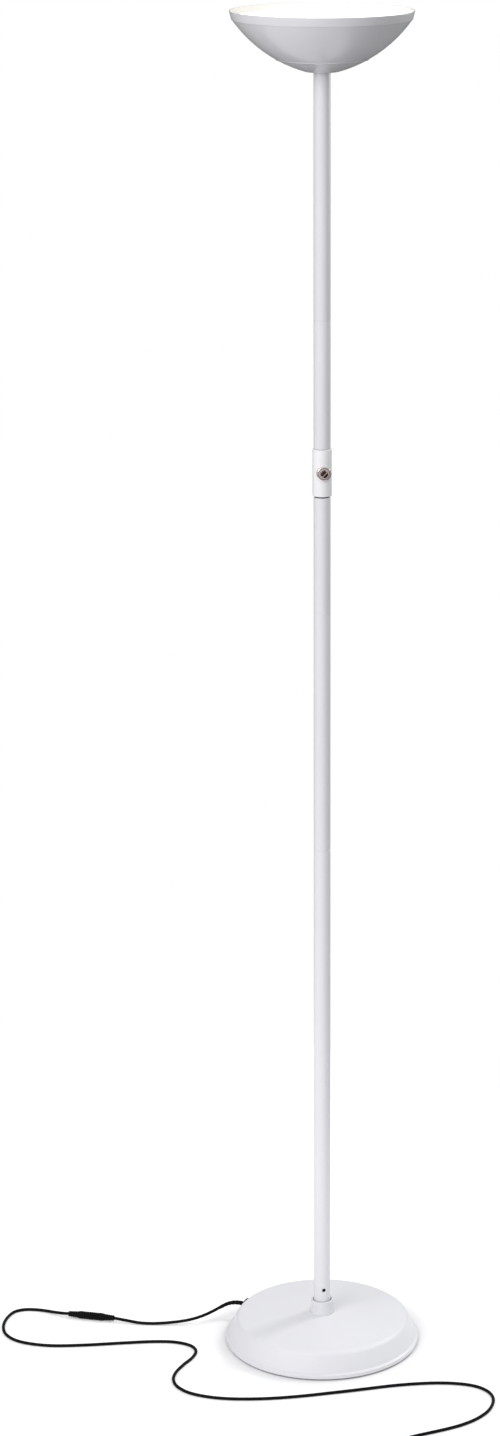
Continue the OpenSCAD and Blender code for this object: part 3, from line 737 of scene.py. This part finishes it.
def base_side(inset, lip_round, crease_round):
    """The base's outline from its lip to its seat, moved inwards by inset."""
    drop = (DOME_R ** 2 + (BASE_TOP - DOME_Z) ** 2 - SEAT_R ** 2) / 2 / (BASE_TOP - DOME_Z)
    curve = math.hypot(SEAT_R, drop)
    dome_edge = 90 - math.degrees(math.asin(DOME_R / curve))
    seat_edge = 90 - math.degrees(math.asin(SEAT_R / curve))
    skirt, ledge = 90 - SKIRT_SLOPE, 90 - LEDGE_SLOPE
    centre = (
        DOME_R - SHOULDER_R * math.cos(math.radians(dome_edge)),
        DOME_Z - SHOULDER_R * math.sin(math.radians(dome_edge)),
    )
    ledge_offset = offset(ledge, (BASE_R, PAD_T + LIP_H)) - inset
    skirt_offset = offset(skirt, centre) + SHOULDER_R - inset
    return [
        (BASE_R - inset, PAD_T, 0.4),
        (*meet(0, BASE_R - inset, ledge, ledge_offset), lip_round),
        (*meet(ledge, ledge_offset, skirt, skirt_offset), crease_round),
        *arc(centre, SHOULDER_R - inset, skirt, dome_edge, 14),
        *arc((0, BASE_TOP - drop), curve - inset, dome_edge, seat_edge, 22)[1:],
    ]


outside = base_side(0, 1.2, 0.7)
inside = base_side(COVER_T, 0.6, 0.6)
dress(lathe("base_dome", [
    *outside, (HOLE_R, BASE_TOP, 0.2), (HOLE_R, BASE_TOP - COVER_T), *reversed(inside),
], segments=FINE_SEGMENTS), PAINT, "white_paint", "base_cover")

dress(lathe("neck_cup", [
    (HOLE_R, BASE_TOP), (16.0, BASE_TOP, 0.5), (15.6, 38.2, 1.0), (14.9, 41.5, 6), (SOCKET_R, 46, 3),
    (SOCKET_R, SOCKET_TOP, 1.1), (SOCKET_BORE_R, SOCKET_TOP, 0.7), (SOCKET_BORE_R, SOCKET_FLOOR, 0.4),
    (HOLE_R, SOCKET_FLOOR),
]), PAINT, "white_paint", "neck_socket")


# ---------------------------------------------------------------- pole

POLE_R = 10.75
BORE_R = 9.55


def make_tube(node, low_edge, high_edge):
    """A tube with a small bevel at each end, which shows as a fine line at a seam."""
    low, high = (corner.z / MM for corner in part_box(node))
    return lathe(node + "_skin", [
        (BORE_R, low), (POLE_R - low_edge, low, low_edge / 3), (POLE_R, low + low_edge, low_edge / 2),
        (POLE_R, high - high_edge, high_edge / 2), (POLE_R - high_edge, high, high_edge / 3),
        (BORE_R, high),
    ], segments=128)


FOOT_SCREW_Z = 70
FOOT_SCREW_TURN = math.radians(15)
FOOT_SCREW_R = 2.3
FOOT_SCREW_END = 9.4
SINK_R = 4.4
SINK_END = 11.5
EDGES = {
    "tube_1": (0.4, 0.25), "tube_2": (0.25, 0.55), "tube_3": (0.45, 0.2), "tube_4": (0.2, 0.5),
    "tube_5": (0.3, 0.35), "tube_6": (0.35, 0.3),
}
outward = Vector((math.sin(FOOT_SCREW_TURN), -math.cos(FOOT_SCREW_TURN), 0))
screw_axis = Vector((0, 0, FOOT_SCREW_Z * MM))
screw_place = aim(screw_axis, screw_axis + outward)
for node, (low_edge, high_edge) in EDGES.items():
    section = make_tube(node, low_edge, high_edge)
    if node == "tube_1":
        cut(section, lathe("cutter", [
            (0, 5), (FOOT_SCREW_R + 0.05, 5), (FOOT_SCREW_R + 0.05, FOOT_SCREW_END + 0.1),
            (SINK_R, SINK_END), (0, SINK_END),
        ], screw_place, 64))
    dress(section, PAINT, "white_paint", node)


def make_hex_screw(name, place, radius, low, high, socket_r, depth):
    """A headless screw with a six-sided socket."""
    def ring(r_out, z, hexagon=0.0):
        made = []
        for a in angles(60):
            flat = math.cos(math.pi / 6) / math.cos((a % (math.pi / 3)) - math.pi / 6)
            r = r_out * (1 - hexagon + hexagon * flat)
            made.append(place @ (Vector((r * math.cos(a), r * math.sin(a), z)) * MM))
        return made

    rings = [
        [place @ Vector((0, 0, low * MM))], ring(radius - 0.3, low), ring(radius, low + 0.3),
        ring(radius, high - 0.3), ring(radius - 0.3, high), ring(socket_r + 0.2, high, 1),
        ring(socket_r, high - 0.2, 1), ring(socket_r, high - depth, 1),
        [place @ Vector((0, 0, (high - depth - 0.4) * MM))],
    ]
    return loft(name, rings)


foot_screw = make_hex_screw(
    "foot_lock_screw", screw_place, FOOT_SCREW_R, low=5.2, high=FOOT_SCREW_END, socket_r=1.5, depth=2.4)
dress(foot_screw, BLACK_OXIDE, "steel", "foot_screw")


# ---------------------------------------------------------------- dimmer collar

COLLAR_R = 12.2
COLLAR_BORE_R = 10.75
KNOB_YAW = 10
KNOB_Z = 1168
POINTER_ANGLE = 45
BUSHING_HOLE_R = 3.6
collar_low, collar_high = (corner.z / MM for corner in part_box("switch_housing"))
knob_place = (
    Matrix.Translation((0, 0, KNOB_Z * MM)) @ Matrix.Rotation(math.radians(KNOB_YAW), 4, "Z")
    @ Matrix.Rotation(math.radians(90), 4, "X"))
pointer_place = knob_place @ Matrix.Rotation(math.radians(-POINTER_ANGLE), 4, "Z")

collar = lathe("collar_sleeve", [
    (COLLAR_BORE_R, collar_low), (COLLAR_R, collar_low, 0.9), (COLLAR_R, collar_high, 0.9),
    (COLLAR_BORE_R, collar_high),
], segments=128)
cut(collar, lathe(
    "cutter", [(0, 5), (BUSHING_HOLE_R, 5), (BUSHING_HOLE_R, 20), (0, 20)], knob_place, 48))
dress(collar, COLLAR_PAINT, "collar_paint", "switch_housing")

BEZEL_R = 9.2
BEZEL_BORE_R = 6.25
BEZEL_TOP = 15.2
BEZEL_SUNK = 0.05


def make_bezel():
    """A rounded ring whose back is cut to sit on the collar."""
    profile = filleted([
        (BEZEL_R, 13.4), (BEZEL_R, 14.4, 0.8), (BEZEL_R - 0.9, BEZEL_TOP, 0.9),
        (BEZEL_BORE_R + 1.2, BEZEL_TOP, 0.6), (BEZEL_BORE_R, BEZEL_TOP - 1.3, 0.6), (BEZEL_BORE_R, 13.0),
    ], steps=6)

    def ring(radius, height=None):
        made = []
        for a in angles(120):
            x, y = radius * math.cos(a), radius * math.sin(a)
            z = math.sqrt(COLLAR_R ** 2 - x * x) - BEZEL_SUNK if height is None else height
            made.append(knob_place @ (Vector((x, y, z)) * MM))
        return made

    rings = [ring(BEZEL_BORE_R), ring(BEZEL_R)] + [ring(r, z) for r, z in profile]
    return loft("knob_bezel", rings, looped=True)


SHAFT_R = 3.0
DISH_R = 6.1
DISH_FOOT = 13.0
DISH_RIM = 15.1
dress(make_bezel(), NICKEL, "nickel", "bezel_ring")
dress(lathe("knob_saucer", [
    (SHAFT_R, DISH_FOOT), (DISH_R, DISH_FOOT, 0.3), (DISH_R, DISH_RIM, 0.35), (5.3, DISH_RIM, 0.5),
    (4.2, 14.1, 0.5), (SHAFT_R, 14.0),
], knob_place, 96), DISH_METAL, "nickel", "knob_dish", body="dimmer_knob")


def soft_square(half, z, power):
    """A ring from round, at power 2, to nearly square, at high powers."""
    made = []
    for a in angles(64):
        c, s = math.cos(a), math.sin(a)
        scale = half / (abs(c) ** power + abs(s) ** power) ** (1 / power)
        made.append(pointer_place @ (Vector((scale * c, scale * s, z)) * MM))
    return made


GRIP_HALF = 3.7
GRIP_NECK = 3.5
GRIP_FOOT = 14
GRIP_END = 20.4
MARK_HALF_W = 1
MARK_HALF_L = 3.4
MARK_END = 20.8


def make_grip():
    levels = [
        (GRIP_NECK, GRIP_FOOT, 2), (GRIP_NECK, 15.4, 2), (GRIP_NECK, 15.8, 5), (GRIP_HALF, 16.3, 6),
        (GRIP_HALF, GRIP_END - 1.1, 6), (GRIP_HALF - 0.1, GRIP_END - 0.6, 6),
        (GRIP_HALF - 0.4, GRIP_END - 0.2, 6), (GRIP_HALF - 0.8, GRIP_END, 6),
    ]
    rings = [soft_square(half, z, power) for half, z, power in levels]
    low, high = (pointer_place @ Vector((0, 0, z * MM)) for z in (GRIP_FOOT, GRIP_END))
    return loft("knob_block", [[low], *rings, [high]])


def make_pointer():
    foot = GRIP_END - 0.3
    rings = []
    for inset, z in ((0, foot), (0, MARK_END - 0.25), (0.15, MARK_END - 0.05), (0.35, MARK_END)):
        size = (2 * (MARK_HALF_W - inset), 2 * (MARK_HALF_L - inset))
        flat = rounded_rectangle(Vector((0, 0, 0)), size, 0.6 - inset * 0.8, z)
        rings.append([pointer_place @ (p * MM) for p in flat])
    low, high = (pointer_place @ Vector((0, 0, z * MM)) for z in (foot, MARK_END))
    return loft("knob_mark", [[low], *rings, [high]])


# The grip's dark brown is partly a painted reflection.
dress(make_grip(), BROWN_AND_DARK_REFLECTION, "knob_brown", "knob_grip", body="dimmer_knob")
# The tan bar is partly a painted highlight.
dress(make_pointer(), POINTER_PAINTED_HIGHLIGHT, "nickel", "knob_pointer", body="dimmer_knob")


# ---------------------------------------------------------------- bowl

BOWL_R = 115
BOWL_LOW, BOWL_TOP = (corner.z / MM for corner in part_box("bowl_shell"))
FLAT_R = 21
SIDE_END = BOWL_LOW + 63.6
BOWL_T = 1.2
CURVE_R = 167
CURVE_C = (-25.1, BOWL_LOW + 160.5)
LEDGE_Z = BOWL_LOW + 65.5
DISC_R = 111.2
DISC_LOW = LEDGE_Z + 0.05
DISC_TOP = LEDGE_Z + 2.5
SEAT_LOW = BOWL_LOW - 17.5
BEAD_R = 57
BEAD_H = 0.8
BEAD_W = 1.6


def make_bowl():
    """The bowl, with a faint bead round its side."""
    def edge(radius, level):
        return -math.degrees(math.asin((CURVE_C[1] - level) / radius))

    low = edge(CURVE_R, BOWL_LOW) + 0.5
    high = edge(CURVE_R, SIDE_END)
    inner = CURVE_R - BOWL_T
    side = []
    for x, z in arc(CURVE_C, CURVE_R, low, high, 90):
        lift = BEAD_H * math.exp(-((x - BEAD_R) / BEAD_W * 2) ** 2)
        out = Vector((x - CURVE_C[0], z - CURVE_C[1])).normalized() * lift
        side.append((x + out.x, z + out.y))
    profile = [
        (HOLE_R, BOWL_LOW), (FLAT_R, BOWL_LOW, 2), *side,
        (112.3, BOWL_LOW + 65.0, 0.8), (BOWL_R, BOWL_TOP - 0.6, 0.6), (BOWL_R - 0.6, BOWL_TOP, 0.5),
        (BOWL_R - 1.4, BOWL_TOP - 0.3, 0.5), (111.4, LEDGE_Z + 0.01, 0.4), (109.4, LEDGE_Z, 0.3),
        *arc(CURVE_C, inner, edge(inner, LEDGE_Z - 2.4), edge(inner, BOWL_LOW + BOWL_T), 40),
        (HOLE_R, BOWL_LOW + BOWL_T),
    ]
    return lathe("bowl_dish", profile, segments=FINE_SEGMENTS)


dress(make_bowl(), BOWL_PAINT, "bowl_paint", "bowl_shell")
dress(lathe("opal_disc", [
    (0, DISC_LOW), (DISC_R, DISC_LOW, 0.4), (DISC_R, DISC_TOP, 0.8), (60, DISC_TOP), (0, DISC_TOP),
]), GLOW, "diffuser_white", "diffuser")
dress(lathe("bowl_seat", [
    (5.1, SEAT_LOW), (9.5, SEAT_LOW, 0.4), (9.5, BOWL_LOW - 1.55, 0.2),
    (11.2, BOWL_LOW - 1.5, 0.4), (11.2, BOWL_LOW, 0.4), (5.1, BOWL_LOW),
], segments=96), PAINT, "white_paint", "top_plug")


# ---------------------------------------------------------------- pieces kept from the frame

KEPT = {
    ZINC: [
        "bottom_plate", "plate_screws", "base_stem", "stem_nut", "stem_washer",
        "dimmer_bushing", "dimmer_shaft", "head_nipple", "head_washer", "head_nut", "led_bracket",
        "carrier_posts", "carrier_screws",
        *(f"joint_{half}_{k}" for half in ("plug", "socket") for k in range(1, 5)),
    ],
    # The neck in the gap under the collar is black, a painted shade in that gap; the neck in the gap above
    # the collar is white, painted light there.
    BLACK_OXIDE: ["neck_lower"],
    PAINT: ["neck_upper"],
    IRON: ["base_weight"],
    ALU: ["heat_sink"],
    PAD: ["base_pad"],
    CASE: ["dimmer_body"],
    CORD: ["inner_lead_lower", "inner_lead_upper"],
    BOARD: ["led_board", "reflector", "led_driver"],
    CHIP: ["led_chips"],
}
for material, nodes in KEPT.items():
    for node in nodes:
        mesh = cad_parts[node].data
        mesh.materials.clear()
        mesh.materials.append(material)


# ---------------------------------------------------------------- floor and light

FLOOR_R = 1.15
FLOOR_C = (-0.5, 0)
FLOOR_GLOW = 0.24
PAINTED_SHADE_FULL_R = 0.13
PAINTED_SHADE_END_R = 0.172
WHITE_LIGHT = (1, 1, 1, 1)


def make_floor():
    """A white paper disc that glows a little. Its glow fades to nothing close to the lamp, which paints a
    shade round the base.
    """
    rim = [(x, y, 0) for x, y in arc(FLOOR_C, FLOOR_R, 0, 360, 96)[:-1]]
    floor = mesh_object("floor", rim, [tuple(range(len(rim)))])
    sheet = Paintwork("floor_paper_painted_shade", Roughness=0.9, Specular_IOR_Level=0.1, Emission_Color=WHITE_LIGHT)
    tones = (0.2, (0.89, 0.89, 0.89)), (0.8, (0.91, 0.91, 0.91))
    sheet.feed(sheet.ramp(sheet.noise(3, 2), *tones), "Base Color")
    apart = sheet.tree.nodes.new("ShaderNodeVectorMath")
    apart.operation = "LENGTH"
    sheet.link(sheet.coords, apart.inputs[0])
    # Painted shade: no glow within a ring round the lamp's foot, fading in further out, so the floor is
    # darker next to the base
    glow = sheet.spread(apart.outputs["Value"], 0.0, FLOOR_GLOW, PAINTED_SHADE_FULL_R, PAINTED_SHADE_END_R)
    sheet.feed(glow, "Emission Strength")
    floor.data.materials.append(sheet.material)


# The directions that the room is bright in, and the light from each
LOBES = (
    ((0, 0, 1), (0.52, 0.48, 0.57)),
    ((-0.25, -1, 0), (0.90, 0.85, 0.91)),
    ((1, 1, 1), (0.88, 0.89, 0.86)),
    ((-1, 1, 0.7), (0.27, 0.29, 0.27)),
    ((-1, -1, 1), (0.42, 0.45, 0.42)),
    ((1, -0.8, 1), (0.30, 0.34, 0.32)),
)
LOBE_POWER = 3

# The lamps: name, place, size in metres and power in watts, all aimed at one point
AREA_LIGHTS = (
    ("key", (-1.5, -1.9, 2.6), 1.8, 33),
    ("back", (1.3, 0.92, 1.7), 0.4, 10),
)
LIGHTS_AIM = Vector((0, 0, 0.6))


def make_light():
    """A white studio: soft lobes of light for all but the camera, which sees plain white."""
    world = bpy.data.worlds.new("room")
    world.use_nodes = True
    bpy.context.scene.world = world
    tree = world.node_tree

    def step(kind, operation, source, socket=0):
        """A maths node fed by source, which is an output of another node."""
        node = tree.nodes.new(kind)
        node.operation = operation
        tree.links.new(source, node.inputs[socket])
        return node

    coords = tree.nodes.new("ShaderNodeTexCoord").outputs["Generated"]
    total = None
    for direction, colour in LOBES:
        dot = step("ShaderNodeVectorMath", "DOT_PRODUCT", coords)
        dot.inputs[1].default_value = Vector(direction).normalized()
        ahead = step("ShaderNodeMath", "MAXIMUM", dot.outputs["Value"])
        ahead.inputs[1].default_value = 0
        narrow = step("ShaderNodeMath", "POWER", ahead.outputs[0])
        narrow.inputs[1].default_value = LOBE_POWER
        glow = step("ShaderNodeVectorMath", "SCALE", narrow.outputs[0], "Scale")
        glow.inputs[0].default_value = colour
        if total:
            both = step("ShaderNodeVectorMath", "ADD", total)
            tree.links.new(glow.outputs[0], both.inputs[1])
            total = both.outputs[0]
        else:
            total = glow.outputs[0]
    seen = tree.nodes.new("ShaderNodeLightPath")
    mix = tree.nodes.new("ShaderNodeMix")
    mix.data_type = "RGBA"
    colour_a, colour_b, result = mix.inputs[6], mix.inputs[7], mix.outputs[2]
    tree.links.new(seen.outputs["Is Camera Ray"], mix.inputs["Factor"])
    tree.links.new(total, colour_a)
    colour_b.default_value = WHITE_LIGHT
    tree.links.new(result, tree.nodes["Background"].inputs["Color"])
    for name, at, size, power in AREA_LIGHTS:
        data = bpy.data.lights.new(name, "AREA")
        data.size = size
        data.energy = power
        lamp = bpy.data.objects.new(name, data)
        lamp.location = at
        lamp.rotation_euler = (LIGHTS_AIM - Vector(at)).to_track_quat("-Z", "Y").to_euler()
        bpy.context.scene.collection.objects.link(lamp)


make_floor()
make_light()
bpy.context.scene.view_settings.view_transform = "Standard"
